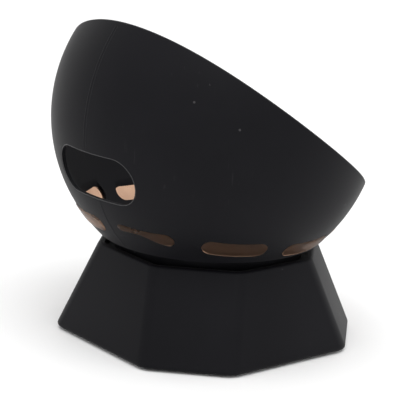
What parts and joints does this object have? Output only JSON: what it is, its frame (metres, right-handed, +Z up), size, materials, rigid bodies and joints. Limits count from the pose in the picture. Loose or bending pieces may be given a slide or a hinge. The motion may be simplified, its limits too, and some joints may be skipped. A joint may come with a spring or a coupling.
{
  "type": "hair color bowl",
  "caption": "Round slant-mouthed hair color bowl with a finger slot and tinted sight windows, turning on a weighted eight-sided base.",
  "frame": {"origin": "on the swivel axis, at the underside of the non-slip pad", "axes": "+Z up along the swivel axis, +X towards the low side of the mouth, with the finger slot at -X"},
  "size_m": [0.1222, 0.13, 0.1295],
  "materials": {
    "soft_black": "soft-touch matt black moulding",
    "smoke_amber": "smoked amber translucent plastic",
    "base_black": "matt black moulding",
    "turntable_plastic": "black nylon",
    "bearing_plastic": "natural acetal",
    "fastener_steel": "zinc-plated steel",
    "ballast_iron": "painted cast iron",
    "grip_rubber": "soft black rubber"
  },
  "bodies": {
    "base": {"base_skirt": "base_black", "bottom_plate": "base_black", "plate_screws": "fastener_steel", "ballast_ring": "ballast_iron", "non_slip_pad": "grip_rubber", "pivot_bush": "bearing_plastic", "glide_ring": "bearing_plastic"},
    "turntable": {"turntable_disc": "turntable_plastic", "grip_ring": "grip_rubber", "retaining_screw": "fastener_steel", "retaining_washer": "fastener_steel"},
    "bowl": {"bowl_shell": "soft_black", "sight_window_1": "smoke_amber", "sight_window_2": "smoke_amber", "sight_window_3": "smoke_amber", "sight_window_4": "smoke_amber", "sight_window_5": "smoke_amber", "sight_window_6": "smoke_amber", "sight_window_7": "smoke_amber", "sight_window_8": "smoke_amber", "sight_window_9": "smoke_amber"}
  },
  "joints": [
    {"name": "turntable_swivel", "type": "hinge", "parent": "base", "child": "turntable", "pos_m": [0, 0, 0.0338], "axis": [0, 0, 1], "continuous": true},
    {"name": "bowl_lift", "type": "slide", "parent": "turntable", "child": "bowl", "axis": [0, 0, 1], "range_m": [0, 0.05]}
  ]
}
